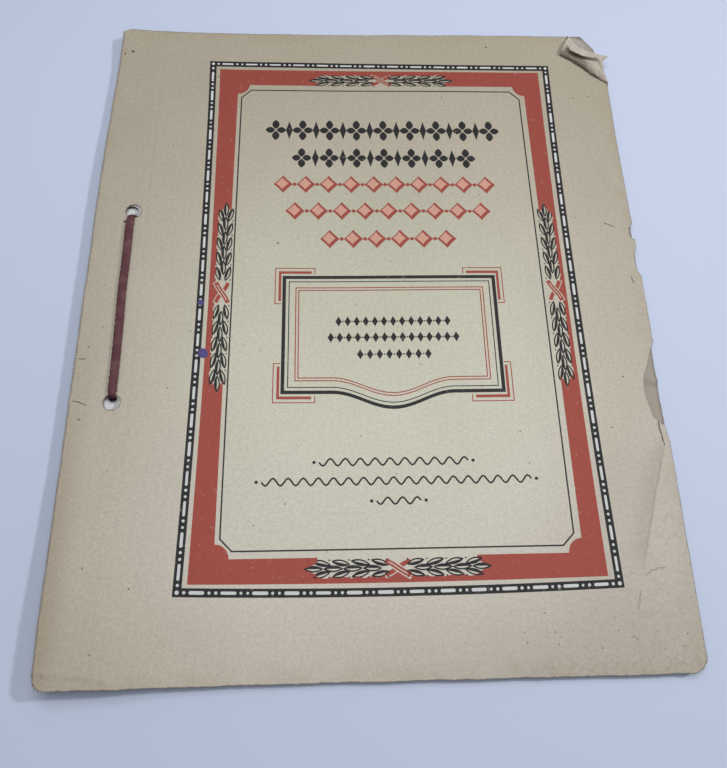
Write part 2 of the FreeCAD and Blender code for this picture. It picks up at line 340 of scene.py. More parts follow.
def punched_sheet(name, outline, holes, free_points, gap, place, thickness, material, sharp=45.0):
    """A closed sheet within an outline, with its holes."""
    def on_sheet(points):
        kept = inside_loop(points, outline)
        for hole in holes:
            kept &= ~inside_loop(points, hole)
        return kept
    loops = [outline, *holes]
    clear = free_points[on_sheet(free_points) & away_from(free_points, loops, gap)]
    flat, faces = triangulate(loops, clear)
    kept = on_sheet(flat[faces].mean(axis=1))
    return closed_sheet(name, flat, faces[kept], place, thickness, material, sharp)


def plain_outline(inset, wear, rng, peep=0.0):
    """Outline of a sheet cut a little inside the covers, worn, and peeping out at its top and spine."""
    round_corner = 5.0
    low = inset - half_height
    left = spine_edge(low) - peep
    right_low = open_edge(low) - inset
    right_high = open_edge(134.0) - inset
    top_right = top_edge(108.0) + peep
    top_left = top_edge(left) + peep
    left_high = spine_edge(top_left) - peep
    points = corner_arc((left + round_corner, low + round_corner), round_corner, 180.0, wear, rng)
    points += worn_line((left + round_corner, low), (right_low - round_corner, low), wear, rng)
    points += corner_arc((right_low - round_corner, low + round_corner), round_corner, 270.0, wear, rng)
    cut = 7.0 + 0.8 * rng.random()
    points += worn_path([(right_low, low + round_corner), (right_high, top_right - 17.0),
                         (right_high - 2.4, top_right - 7.6), (right_high - cut, top_right),
                         (left_high + 2.0, top_left)], wear, rng)
    spine = [(spine_edge(y) - peep, y) for y in np.linspace(top_left - 2.0, low + round_corner, 8)]
    return points + worn_path(spine, wear, rng)


def step_mask(value, start, end, low=0.0, high=1.0):
    """A smooth step of a value between two limits."""
    inputs = {"Value": value, "From Min": start, "From Max": end, "To Min": low, "To Max": high}
    mapped = add_node(value.id_data, "ShaderNodeMapRange", inputs, interpolation_type="SMOOTHSTEP")
    return mapped.outputs["Result"]


def combine(operation, first, *others):
    """Values taken together, one after the other."""
    for other in others:
        node = add_node(tree_of(first, other), "ShaderNodeMath", {0: first, 1: other}, operation=operation)
        first = node.outputs["Value"]
    return first


plus = partial(combine, "ADD")
minus = partial(combine, "SUBTRACT")
times = partial(combine, "MULTIPLY")
larger = partial(combine, "MAXIMUM")
smaller = partial(combine, "MINIMUM")

# Age of card and paper, and the light and shade painted on them, as masks in millimetres across and up the
# page, and the grain of their faces.
age_and_painted_light = bpy.data.node_groups.new("age_and_painted_light", "ShaderNodeTree")


def page_vector(operation, first, second):
    """A vector sum on the page."""
    return add_node(age_and_painted_light, "ShaderNodeVectorMath", {0: first, 1: second}, operation=operation).outputs


uv = add_node(age_and_painted_light, "ShaderNodeUVMap", uv_map="page").outputs["UV"]
page = page_vector("MULTIPLY", uv, (page_width, page_height, 1.0))["Vector"]
axes = add_node(age_and_painted_light, "ShaderNodeSeparateXYZ", {"Vector": page}).outputs
across = axes["X"]
up = axes["Y"]
low_right = minus(across, up)
fine = noise(age_and_painted_light, 0.13, 5.0, Vector=page)

# Light has bleached the card, least at its head, foot and sides, and the paler middle is partly a painted
# sheen. The middle has a greenish cast.
tone_and_sheen = times(step_mask(up, 268.0, 62.0), step_mask(up, 0.0, 42.0, 0.66, 1.0),
              step_mask(across, 0.0, 75.0, 0.38, 1.0),
              larger(step_mask(across, 216.0, 150.0, 0.5, 1.0), step_mask(low_right, 90.0, 170.0, 0.5, 0.8)))
tone_and_sheen = plus(tone_and_sheen, times(noise(age_and_painted_light, 0.02, 4.0, Vector=page), 0.35), -0.17)
# Painted shade: a neutral darkening towards the lower right.
lower_right_shade = step_mask(low_right, 90.0, 170.0, 1.0, 0.89)
cast = step_mask(page_vector("DISTANCE", page, (108.0, 122.0, 0.0))["Value"], 105.0, 35.0)

# Damp has come in from the edges. Hands have soiled the open edge and the spine, and the bare top right
# corner is darker.
rim_distance = smaller(across, minus(page_width, across), up, minus(page_height, up))
wet_front = plus(rim_distance, times(fine, 18.0))
handled = step_mask(plus(across, times(fine, 6.0)), 206.0, 213.0)
bare_corner = times(step_mask(up, 248.0, 258.0, 0.0, 0.9), step_mask(across, 184.0, 196.0))
soiled_rim = larger(step_mask(wet_front, 14.0, 6.0, 0.0, 0.4), handled, bare_corner)
spine_soil = times(step_mask(across, 11.0, 0.0), step_mask(up, 190.0, 20.0), 1.5)
stain = larger(step_mask(wet_front, 17.0, 5.0, 0.0, 0.8), spine_soil)

# Foxing: a few of many scattered cells hold a spot.
cells = add_node(age_and_painted_light, "ShaderNodeTexVoronoi", {"Vector": page, "Scale": 0.11, "Randomness": 1.0}).outputs
pick = add_node(age_and_painted_light, "ShaderNodeSeparateColor", {"Color": cells["Color"]}).outputs["Red"]
spot_size = times(combine("POWER", pick, 6.0), 0.055)
spots = step_mask(minus(cells["Distance"], spot_size), 0.012, -0.012)


def past_line(slope, start):
    """How far a place lies beyond a slanted line on the page."""
    return minus(page_vector("DOT_PRODUCT", page, (*slope, 0.0))["Value"], start)


# Painted shade: the crease by the open edge is darker on one side and along its line, and thin dark
# lines at the foot and towards the lower right stand for the shade of wrinkles. The hollow of the folded
# corner is darkened, partly as painted shade and partly as dirt.
crease_slope = (0.946, -0.325)
off_crease = plus(past_line(crease_slope, 177.66), times(fine, 1.6))
shaded_side = times(step_mask(off_crease, -10.0, 0.0, 0.0, 0.36), step_mask(off_crease, 0.3, 0.8, 1.0, 0.0))
crease_shade_line = step_mask(combine("ABSOLUTE", off_crease, 0.0), 0.55, 0.1, 0.0, 0.5)
crease_shade_and_dirt = times(plus(shaded_side, crease_shade_line), step_mask(up, 82.0, 70.0), step_mask(up, 31.0, 40.0))
ruck = combine("ABSOLUTE", minus(noise(age_and_painted_light, 0.16, 1.0, Vector=page), 0.5), 0.0)
foot_rucks = times(step_mask(up, 8.0, 3.0, 0.0, 0.45), step_mask(across, 150.0, 168.0))
side_rucks = times(step_mask(low_right, 125.0, 160.0, 0.0, 0.2), step_mask(across, 186.0, 194.0))
wrinkle_shade = times(step_mask(ruck, 0.05, 0.0), larger(foot_rucks, side_rucks))
past_fold = past_line((0.881, 0.473), 304.55)
down_fold = past_line((0.473, -0.881), -141.72)
fold_shade_and_dirt = times(step_mask(past_fold, 3.6, 4.6, 0.0, 2.3), step_mask(down_fold, 3.0, 5.0),
                  step_mask(down_fold, 19.0, 12.0))
crease_shade_and_dirt = larger(crease_shade_and_dirt, wrinkle_shade, fold_shade_and_dirt)

# Fibres, lumps and faint ribs of the sheet's face.
fibre = noise(age_and_painted_light, 1.6, 4.0, Vector=page)
relief = plus(fibre, times(noise(age_and_painted_light, 0.35, 2.0, Vector=page), 1.5))
rubbed = noise(age_and_painted_light, 0.7, 5.0, Vector=page, Roughness=0.7)
ribbed = noise(age_and_painted_light, 1.0, 2.0, Vector=page_vector("MULTIPLY", page, (1.1, 0.04, 1.0))["Vector"])
mottle = plus(times(rubbed, 0.87), times(ribbed, 0.13))

masks = {"ToneAndSheen": tone_and_sheen, "LowerRightShade": lower_right_shade, "Cast": cast, "Stain": stain, "Spots": spots, "CreaseShadeAndDirt": crease_shade_and_dirt,
         "Rim": soiled_rim, "Fibre": fibre, "Mottle": mottle, "Relief": relief}
for label in masks:
    age_and_painted_light.interface.new_socket(label, in_out="OUTPUT", socket_type="NodeSocketFloat")
add_node(age_and_painted_light, "NodeGroupOutput", masks)


def aged_material(name):
    """A material and the masks of its age and of the light and shade painted on it."""
    material, tree, surface = new_material(name)
    return material, tree, surface, add_node(tree, "ShaderNodeGroup", node_tree=age_and_painted_light).outputs


def sheet_mark(tree, label):
    """A value that a sheet carries on its faces or points."""
    return add_node(tree, "ShaderNodeAttribute", attribute_name=label).outputs["Fac"]


def rough_paper(tree, surface, colour, age, grain, cut_edge):
    """Wire a paper colour with fibres, the darker cut edges of the sheet, and the relief of its face."""
    colour = blend_colour(sheet_mark(tree, "rim"), colour, cut_edge)
    for mask, swing in ((age["Fibre"], grain), (age["Mottle"], 1.2 * grain)):
        colour = blend_colour(1.0, colour, step_mask(mask, 0.3, 0.7, 1.0 - swing, 1.0 + swing), "MULTIPLY")
    tree.links.new(colour, surface["Base Color"])
    bump = add_node(tree, "ShaderNodeBump", {"Height": age["Relief"], "Strength": 0.5, "Distance": 0.00006})
    tree.links.new(bump.outputs["Normal"], surface["Normal"])
    surface["Roughness"].default_value = 0.75
    surface["Specular IOR Level"].default_value = 0.25


card_material, tree, surface, age = aged_material("buff_card")
green_cast = (0.98, 1.038, 0.98, 1.0)
card_colour = blend_colour(age["ToneAndSheen"], srgb(166, 158, 141), srgb(203, 197, 186))
# Painted shade darkens the lower right.
card_colour = blend_colour(1.0, card_colour, age["LowerRightShade"], "MULTIPLY")
card_colour = blend_colour(age["Cast"], card_colour, green_cast, "MULTIPLY")
# Within 0.6 mm of the cut edges the card is darker, partly worn and partly painted shade along the edges.
worn_and_shaded_edge = times(step_mask(sheet_mark(tree, "edge_gap"), 0.6, 0.0), step_mask(age["Mottle"], 0.75, 0.4), 0.85)
for mask, tone in ((sheet_mark(tree, "inner"), srgb(182, 175, 163)),
                   (times(age["Stain"], 0.3), srgb(146, 128, 104)),
                   # Painted shade of the crease and wrinkles, and shade with some dirt in the folded corner's
                   # hollow.
                   (times(age["CreaseShadeAndDirt"], 0.4), srgb(112, 104, 92)),
                   (times(age["Spots"], 0.75), srgb(82, 66, 52)),
                   (worn_and_shaded_edge, srgb(88, 80, 72))):
    card_colour = blend_colour(mask, card_colour, tone)
rough_paper(tree, surface, card_colour, age, 0.06, srgb(118, 106, 90))


def sheet_place(base, level):
    """Placing of a sheet that lies at a height in the stack."""
    def place(x, y, raise_by):
        return np.stack([x, y, base + raise_by + fall(x) + warp(x, y, level)], axis=1)
    return place


cover_holes = [circle(x, y, hole_radius) for x, y in holes_at]
back_cover = punched_sheet("back_cover_sheet", plain_outline(0.0, 0.35, random.Random(11)), cover_holes,
                           page_grid(4.0, 8.0), 2.0, sheet_place(0.0, 0.0), card_thickness, card_material)
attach(back_cover, "binding")
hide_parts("back_cover")


# LEAVES
# Eight loose sheets of off-white album paper, punched by hand, so their holes don't quite line up.
# The last one is punched only for the cord. The cord holds the margin; the rest bends up at the crease.

def album_paper(name, soil):
    """Off-white paper, toned at its edges, darker on the strip that the worn cover leaves bare, and dark
    along its cut edges, partly by age and partly as painted shade.
    """
    material, tree, surface, age = aged_material(name)
    colour = blend_colour(age["ToneAndSheen"], srgb(206, 208, 212), srgb(218, 220, 226))
    soiled = times(age["Rim"], step_mask(sheet_mark(tree, "inner"), 0.0, 1.0, soil, 0.25))
    colour = blend_colour(soiled, colour, srgb(157, 149, 139))
    # The cut edges and the band along them are dark, partly by age and partly as painted shade on the hole
    # walls and peeping edges.
    dark_edge = step_mask(sheet_mark(tree, "edge_gap"), 1.3, 0.0, 0.0, 0.6)
    colour = blend_colour(dark_edge, colour, srgb(104, 97, 90))
    rough_paper(tree, surface, colour, age, 0.04, srgb(96, 90, 84))
    return material


bare_paper = album_paper("bare_paper", 1.0)
inner_paper = album_paper("inner_paper", 0.4)


def bent_place(place):
    """Placing of the first leaf, which is bent up across the stretch that the torn cover leaves bare."""
    bend_y = -33.5
    bend_half = 2.2
    bend_height = 1.1

    def bent(x, y, raise_by):
        spot = place(x, y, raise_by)
        bend = np.maximum(1.0 - np.abs(y - bend_y) / bend_half, 0.0) * ramp(x, 101.8, 104.0)
        spot[:, 2] += bend_height * bend
        return spot
    return bent


leaf_count = 8
leaf_thickness = 0.15
leaf_rise = 0.19
lowest_leaf = 0.44
hole_drift = 0.45
cord_hole_radius = 1.5
for k in range(1, leaf_count + 1):
    rng = random.Random(100 + k)
    shift = 0.9 + 0.2 * rng.random()
    holes = [circle(x - shift, y - math.copysign(hole_drift, y), hole_radius) for x, y in holes_at]
    if k == leaf_count:
        holes = [circle(x - 0.3, y - math.copysign(2.1, y), cord_hole_radius, 24) for x, y in holes_at]
    outline = plain_outline(0.8 + 0.5 * rng.random(), 0.3, rng, 0.2 + 0.5 * rng.random())
    free_points = page_grid(4.0, 9.0)
    place = sheet_place(lowest_leaf + (leaf_count - k) * leaf_rise, (leaf_count + 1 - k) / (leaf_count + 1))
    if k == 1:
        free_points = np.vstack([free_points, page_grid(0.9, 0.9, (101.0, -51.0), (107.5, -17.0))])
        place = bent_place(place)
    leaf = punched_sheet(f"leaf_{k}_sheet", outline, holes, free_points, 0.5, place, leaf_thickness,
                         bare_paper if k == 1 else inner_paper)
    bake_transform(leaf)
    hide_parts(f"leaf_{k}_margin", f"leaf_{k}_panel")


# FRONT COVER
# The same card as the back, creased beside the holes so that it opens. Handling has frayed its
# corners, torn strips from the open edge and folded the top right corner over.

stack_top = 1.96
fold_top = (92.8, top_edge(92.8))
fold_side = (open_edge(105.4), 105.4)
fold_length = math.dist(fold_side, fold_top)
fold_along = np.subtract(fold_side, fold_top) / fold_length
fold_out = np.array((-fold_along[1], fold_along[0]))

# How far the open edge is worn back, at heights from the foot up to the fold.
open_edge_wear = [(-128.5, 0.6), (-70.0, 0.1), (-57.5, 0.3), (-50.6, 0.9), (-49.4, 3.0), (-47.3, 4.6),
                  (-42.5, 5.8), (-36.8, 6.4), (-33.3, 6.0), (-27.6, 3.9), (-23.3, 2.3), (-19.2, 0.6),
                  (-17.6, 0.0), (0.0, 0.0), (10.6, 0.0), (12.0, 0.9), (15.0, 1.5), (19.0, 1.5),
                  (22.6, 0.5), (23.4, 0.0), (27.2, 0.0), (27.8, 1.4), (30.0, 1.9), (32.6, 1.7),
                  (34.4, 0.0), (70.0, 0.3), (105.4, 0.0)]
rng = random.Random(7)
foot = -half_height
spine = spine_edge(foot)
spine_round = 3.6
open_round = 6.0
open_foot = open_edge(foot) - 6.5
torn_low = (open_edge(112.5), 112.5)
torn_tip = (104.6, 124.6)
torn_high = (102.0, top_edge(102.0))
spine_top = top_edge(-105.0)
outline = corner_arc((spine + spine_round, foot + spine_round), spine_round, 180.0, 0.9, rng, 10)
outline += worn_line((spine + spine_round, foot), (open_foot, foot), 0.4, rng)
outline += corner_arc((open_foot, foot + open_round), open_round, 270.0, 0.25, rng, 12)
outline += worn_path([(open_edge(y) - bite, y) for y, bite in open_edge_wear], 0.25, rng)
outline += worn_line(fold_side, torn_low, 0.2, rng)
outline += worn_path([torn_low, torn_tip, torn_high], 0.3, rng, 1.1)
outline += worn_line(torn_high, fold_top, 0.2, rng)
outline += worn_line(fold_top, (spine_edge(spine_top) + 2.0, spine_top), 0.35, rng)
spine_heights = np.linspace(spine_top - 1.6, foot + spine_round, 8)
outline += worn_path([(spine_edge(y), y) for y in spine_heights], 0.3, rng)

crease_at = (95.8, -84.0)
hinge_x = -88.0


def cover_swell(x, y):
    """Cockles and soft creases of the front cover, all above the leaves."""
    cockle = 0.16 * (1.0 + np.sin(x / 23.0 + 1.1 * np.sin(y / 41.0))) * ramp(x, -80.0, -40.0)
    cockle = cockle + 0.12 * (1.0 + np.sin(y / 19.0 + x / 60.0)) * ramp(x, -85.0, -60.0)
    off_line = (x - crease_at[0]) * crease_slope[0] + (y - crease_at[1]) * crease_slope[1]
    flank = np.where(off_line < 0.0, -off_line / 3.6, off_line / 8.0)
    crease = 0.85 * np.maximum(1.0 - flank, 0.0) * ramp(y, -50.0, -62.0) * ramp(y, -104.0, -92.0)
    groove = -0.2 * np.exp(-((x - hinge_x) / 0.5) ** 2)
    foot_line = np.interp(x, (-108.0, -96.9, -86.7, -82.9, -80.0), (-128.8, -129.8, -131.2, -133.0, -134.6))
    foot_fold = 0.3 * np.maximum(1.0 - np.abs(y - foot_line) / 1.8, 0.0) * ramp(x, -80.0, -86.0)
    return cockle + crease + groove + foot_fold


# The bruised corner, as points across the page and heights over the cover's face. Each row runs from
# the fold, round its outer side, over a ridge, a hollow and a second ridge to the torn rim.
bruised_rows = (0.0, 0.25, 0.5, 0.66, 0.72, 0.82, 1.0)
bruised = np.array([
    [(0.0, 0.0, 0.0), (1.6, -0.2, 0.6), (-0.9, -4.5, 1.6),
     (-2.6, -7.6, 2.0), (-3.7, -9.7, 1.8), (-4.3, -11.2, 1.0)],
    [(3.9, -7.4, 0.0), (4.6, -7.6, 1.4), (0.1, -11.3, 2.9),
     (1.7, -10.6, 0.9), (-0.1, -13.7, 1.3), (1.1, -14.9, 0.5)],
    [(7.8, -14.7, 0.0), (10.4, -11.1, 1.6), (5.6, -14.5, 2.9),
     (7.4, -13.7, 0.9), (5.4, -17.9, 1.6), (6.2, -19.6, 0.5)],
    [(10.2, -19.4, 0.0), (17.6, -13.5, 2.0), (11.9, -15.4, 2.6),
     (11.6, -15.8, 1.0), (9.2, -20.3, 1.9), (9.6, -24.1, 0.5)],
    [(11.2, -21.2, 0.0), (14.6, -15.3, 1.6), (13.5, -16.0, 2.2),
     (12.6, -16.9, 1.1), (10.9, -20.9, 2.0), (11.4, -25.8, 0.5)],
    [(12.7, -24.1, 0.0), (14.4, -21.8, 0.8), (13.9, -18.6, 1.6),
     (12.9, -19.1, 1.0), (12.6, -22.7, 1.7), (13.4, -26.4, 0.5)],
    [(15.5, -29.4, 0.0), (16.0, -28.2, 0.2), (15.7, -27.4, 0.6),
     (15.5, -27.3, 0.7), (15.2, -27.3, 0.7), (15.1, -27.4, 0.5)]])


def pleat(value):
    """Folds with straight flanks and sharp ridges, from 0 to 1, one to each whole step of the value."""
    return 2.0 * np.abs(value - np.floor(value + 0.5))


def corner_spot(row, rank):
    """Places on the bruised corner, at parts of the way along its rows and ranks of points."""
    row = np.interp(row, bruised_rows, range(len(bruised_rows)))
    rank = np.clip(rank, 0.0, 1.0) * (bruised.shape[1] - 1)
    i = np.minimum(row.astype(int), len(bruised) - 2)
    j = np.minimum(rank.astype(int), bruised.shape[1] - 2)
    s = (row - i)[:, None]
    t = (rank - j)[:, None]
    near = bruised[i, j] * (1.0 - t) + bruised[i, j + 1] * t
    far = bruised[i + 1, j] * (1.0 - t) + bruised[i + 1, j + 1] * t
    return near * (1.0 - s) + far * s


# The folded part is torn off along two slanting sides. It is rolled over within a part of its depth, dented
# all over, and the card before the fold is bruised.
upper_slant = 0.528
lower_slant = 1.895
corner_rows = (0.0, 0.587, 1.0)
corner_depths = (8.1, 5.9, 3.3)
roll_end = 0.4
dent_depth = 0.15
dent_pitch = 3.1
bruise_height = 0.5
bruise_pitch = 6.5


def cover_place(x, y, raise_by):
    """The front cover in space, with its bruised corner folded over and crumpled."""
    height = fall(x) + warp(x, y, 1.0) + cover_swell(x, y)
    beyond = (x - fold_top[0]) * fold_out[0] + (y - fold_top[1]) * fold_out[1]
    along = (x - fold_top[0]) * fold_along[0] + (y - fold_top[1]) * fold_along[1]
    turned_over = beyond > 0.0
    upper = upper_slant * beyond
    lower = fold_length - lower_slant * beyond
    row = (along - upper) / np.maximum(lower - upper, 1.0)
    rank = np.maximum(beyond, 0.0) / np.interp(row, corner_rows, corner_depths)
    spot = corner_spot(row, rank)
    roll = math.pi * np.clip(rank / roll_end, 0.0, 1.0)
    dents = dent_depth * pleat((along + 0.6 * beyond) / dent_pitch) * ramp(rank, 0.0, 0.3)
    inward = -raise_by * np.sin(roll)
    place_x = np.where(turned_over, fold_top[0] + spot[:, 0] + inward * fold_out[0], x)
    place_y = np.where(turned_over, fold_top[1] + spot[:, 1] + inward * fold_out[1], y)
    turned_lift = spot[:, 2] + dents + raise_by * np.cos(roll) + card_thickness * 0.5 * (1.0 - np.cos(roll))
    lift = np.where(turned_over, turned_lift, raise_by)
    bruise = bruise_height * ramp(beyond, -4.0, 0.0) * ramp(beyond, 2.0, 0.0)
    bruise = bruise * ramp(along, 0.0, 8.0) * ramp(along, 33.0, 25.0) * pleat(along / bruise_pitch)
    return np.stack([place_x, place_y, stack_top + height + bruise + lift], axis=1)


# The mesh is finer along the worn edges, in the folded corner, at the foot, the hinge and the crease.
edge_row = []
for a, b in zip(outline, outline[1:]):
    run = max(math.dist(a, b), 1e-6)
    edge_row.append((0.5 * (a[0] + b[0]) - 0.5 * (b[1] - a[1]) / run,
                     0.5 * (a[1] + b[1]) + 0.5 * (b[0] - a[0]) / run))
corner_points = page_grid(0.3, 0.3, (90.0, 103.0), (half_width, half_height))
corner_points = corner_points[(corner_points - fold_top) @ fold_out > -0.4]
crease_points = [np.add(crease_at, (-crease_slope[1] * t, crease_slope[0] * t)) for t in range(-22, 36)]
front_points = np.vstack([page_grid(2.6, 2.6), edge_row, corner_points,
                          page_grid(0.8, 0.8, (-107.0, -134.0), (-78.0, -126.0)),
                          page_grid(0.5, 3.0, (-91.0, -133.0), (-86.0, 133.0)), crease_points])
front_cover = punched_sheet("front_cover_sheet", outline, cover_holes, front_points, 0.25, cover_place,
                            card_thickness, card_material, 20.0)
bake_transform(front_cover)
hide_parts("front_cover_margin", "front_cover_panel")


# PRINT
# Two inks, black and brick red, printed on the front cover: a border of dashes and dots, a red band
# with garlands, a thin line, a framed panel, and rows of plain printer's ornaments.

print_left = -67.4
print_top = 116.9
print_width = 150.3
print_height = 224.2
ink_sink = 0.02
ink_thickness = 0.05
side_bow = 1.4
head_lift = 0.8
foot_bow = 1.2


def bulge(value, span):
    """A swell from 0 at both ends of a span to 1 in its middle."""
    part = np.clip(value / span, 0.0, 1.0)
    return 4.0 * part * (1.0 - part)


def on_page(loop):
    """Points of the print, from its top left corner, on the page. Damp has bowed its outer sides."""
    points = []
    for x, y in loop:
        sideways = side_bow * (ramp(x, 6.5, 4.0) - ramp(x, print_width - 6.5, print_width - 4.0))
        upwards = head_lift * ramp(y, 5.0, 3.0) * ramp(x / print_width, 0.75, 0.2)
        downwards = foot_bow * ramp(y, print_height - 5.0, print_height - 3.0) * bulge(x, print_width)
        points.append((print_left + x + float(sideways * bulge(y, print_height)),
                       print_top - y + float(upwards - downwards)))
    return points


def split_long(loop, longest=3.0):
    """A loop with its long sides divided, so that it follows the sheet."""
    points = []
    for a, b in zip(loop, loop[1:] + loop[:1]):
        count = max(1, math.ceil(math.dist(a, b) / longest))
        parts = [i / count for i in range(count)]
        points.extend((a[0] + (b[0] - a[0]) * part, a[1] + (b[1] - a[1]) * part) for part in parts)
    return points


def ink_place(x, y, raise_by):
    """A film of ink on the front cover's face."""
    return cover_place(x, y, card_thickness - ink_sink + raise_by)


def film(name, groups, material, thickness=ink_thickness, lay=on_page):
    """A film of ink. Each group is a list of shapes filled and a list of shapes left bare in them."""
    all_flat = []
    all_faces = []
    count = 0
    for filled, bare in groups:
        loops = [lay(split_long(loop)) for loop in (*filled, *bare)]
        flat, faces = triangulate(loops, [])
        middle = flat[faces].mean(axis=1)
        keep = np.zeros(len(faces), bool)
        for loop in loops[:len(filled)]:
            keep |= inside_loop(middle, loop)
        for loop in loops[len(filled):]:
            keep &= ~inside_loop(middle, loop)
        all_flat.append(flat)
        all_faces.append(faces[keep] + count)
        count += len(flat)
    obj = closed_sheet(name, np.vstack(all_flat), np.vstack(all_faces), ink_place, thickness, material)
    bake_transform(obj)


def box_loop(left, top, right, bottom):
    """A rectangle."""
    return [(left, top), (right, top), (right, bottom), (left, bottom)]


def pill(x, y, half_length, half_width, upright):
    """A dash with round ends."""
    points = []
    for i in range(12):
        angle = math.tau * (i + 0.5) / 12 - math.pi / 2
        end = half_length - half_width if math.cos(angle) > 0 else half_width - half_length
        along = end + half_width * math.cos(angle)
        aside = half_width * math.sin(angle)
        points.append((x + aside, y + along) if upright else (x + along, y + aside))
    return points


def stroke(line, width, closed=False):
    """The two sides of a drawn line as one loop, or two loops for a closed line."""
    points = np.array(line, float)
    if closed:
        before = np.roll(points, 1, axis=0)
        after = np.roll(points, -1, axis=0)
    else:
        before = np.vstack([2 * points[0] - points[1], points[:-1]])
        after = np.vstack([points[1:], 2 * points[-1] - points[-2]])
    first = (points - before) / np.linalg.norm(points - before, axis=1)[:, None]
    second = (after - points) / np.linalg.norm(after - points, axis=1)[:, None]
    normal = np.stack([-(first[:, 1] + second[:, 1]), first[:, 0] + second[:, 0]], axis=1)
    normal /= np.maximum(1.0 + (first * second).sum(axis=1), 0.2)[:, None]
    one = [tuple(p) for p in points + normal * width / 2]
    other = [tuple(p) for p in points - normal * width / 2]
    return (one, other) if closed else one + other[::-1]


def almond(x, y, length, width, angle, skew=0.0, count=8):
    """A pointed leaf about a middle point, along an angle in degrees."""
    turn = math.radians(angle)
    points = []
    for side in (1, -1):
        for i in range(count):
            part = i / count
            along = length * (part - 0.5) * side
            out = side * (width / 2) * math.sin(math.pi * part) ** 0.8 + skew * math.sin(math.pi * part)
            points.append((x + along * math.cos(turn) - out * math.sin(turn),
                           y + along * math.sin(turn) + out * math.cos(turn)))
    return points


# Border: a black frame in which dashes and pairs of dots are left bare, and filled with a paler tone.
rng = random.Random(21)
border_width = 2.85
rail = border_width / 2
clear_start = rail + 1.15
pale_gap = 0.05
bare = [box_loop(border_width, border_width, print_width - border_width, print_height - border_width)]
pale = []
border_sides = ((print_width, print_height, False, 14, 0.41, 0.53),
                (print_height, print_width, True, 21, 0.46, 0.46))
for along_total, other_side, upright, repeats, near_slim, far_slim in border_sides:
    pitch = (along_total - 2 * clear_start) / repeats
    for i in range(repeats):
        middle = clear_start + (i + 0.5) * pitch
        for across_at, slim in ((rail, near_slim), (other_side - rail, far_slim)):
            place = (across_at, middle) if upright else (middle, across_at)
            half_length = 2.5 + 0.2 * rng.random()
            half_thick = slim + 0.1 * rng.random()
            bare.append(pill(*place, half_length, half_thick, upright))
            pale.append(pill(*place, half_length - pale_gap, half_thick - pale_gap, upright))
            for sign in (-1, 1):
                dot_at = middle + sign * (pitch / 2 - 1.1)
                place = (across_at, dot_at) if upright else (dot_at, across_at)
                radius = 0.47 + 0.1 * rng.random()
                bare.append(circle(*place, radius, 12))
                pale.append(circle(*place, radius - pale_gap, 12))
for x in (rail, print_width - rail):
    for y in (rail, print_height - rail):
        bare.append(circle(x, y, 0.7, 12))
        pale.append(circle(x, y, 0.7 - pale_gap, 12))
black_groups = [([box_loop(0.0, 0.0, print_width, print_height)], bare)]
red_groups = []

# Garlands: three rows of leaves pointing away from a crossed ribbon, on a ground that is open inwards.
garland_grounds = []
spray_pitch = 6.6
spread = 2.9
row_gap = 1.85
ribbon_shapes = (((4.2, -2.2), (2.1, -1.35), 1.5), ((4.3, 2.4), (2.2, 1.45), 1.65),
                 ((4.6, 2.55), (2.2, 1.45), 2.45), ((4.5, -2.35), (2.1, -1.35), 2.2),
                 ((3.2, 2.0), (1.6, 1.1), 0.36))


def ribbon(end, bend, width):
    """A ribbon through the middle of a garland, the same towards both ends."""
    return stroke([(-end[0], -end[1]), (-bend[0], -bend[1]), (0.0, 0.0), bend, end], width)


def turned(points, middle, upright):
    """Points given along and across a garland, as points of the print."""
    return [(middle[0] + w, middle[1] + t) if upright else (middle[0] + t, middle[1] + w) for t, w in points]


for middle, half, upright, inward in (((10.7, 113.2), 40.8, True, 1), ((140.0, 112.5), 40.6, True, -1),
                                      ((74.9, 9.1), 32.0, False, 1), ((74.3, 216.2), 32.0, False, -1)):
    steps = int((half - 11.0) / 2.0)
    edge = [(half - 3.6, 1.3), (half - 4.6, 2.0), (half - 5.6, spread)]
    for i in range(steps):
        edge.append((half - 5.6 - (half - 10.6) * (i + 1) / steps, spread + 0.22 * math.cos(math.pi * i)))
    edge += [(4.4, 2.5), (3.0, 1.5)]
    open_side = [(half - 3.6, 1.3), (half - 4.8, 2.2), (half - 5.2, spread + 2.4)]
    ground = [(half, 0.0)]
    ground += [(t, w * inward) for t, w in open_side]
    ground += [(-t, w * inward) for t, w in open_side[::-1]]
    ground += [(-half, 0.0)]
    ground += [(-t, -w * inward) for t, w in edge]
    ground += [(t, -w * inward) for t, w in edge[::-1]]
    filled = []
    veins = []
    for sign in (-1, 1):
        for row in (0, -1, 1):
            row_across = row * row_gap
            leaf_at = half - 3.6 - abs(row) * 0.4 * spray_pitch
            while leaf_at > 4.6:
                tilt = 14.0 * row + 5.0 * (rng.random() - 0.5)
                length = 6.5 + 0.5 * rng.random()
                t = sign * leaf_at
                angle = tilt if sign > 0 else 180.0 - tilt
                vein_side = 0.3 if (row >= 0) == (sign > 0) else -0.3
                vein = almond(t - sign * 0.1, row_across, length * 0.7, 0.6, angle, vein_side)
                filled.append(turned(almond(t, row_across, length, 2.2, angle), middle, upright))
                veins.append(turned(vein, middle, upright))
                if row:
                    berry = circle(t - sign * 2.7, row_across + row * 0.95, 0.3, 8)
                    filled.append(turned(berry, middle, upright))
                leaf_at -= spray_pitch
    black_groups.append((filled, veins))
    ribbons = [turned(ribbon(*shape), middle, upright) for shape in ribbon_shapes]
    back, front, front_ground, back_ground, slit = ribbons
    garland_grounds += [turned(ground, middle, upright), front_ground, back_ground]
    red_groups += [([back], [front_ground]), ([front], [slit])]

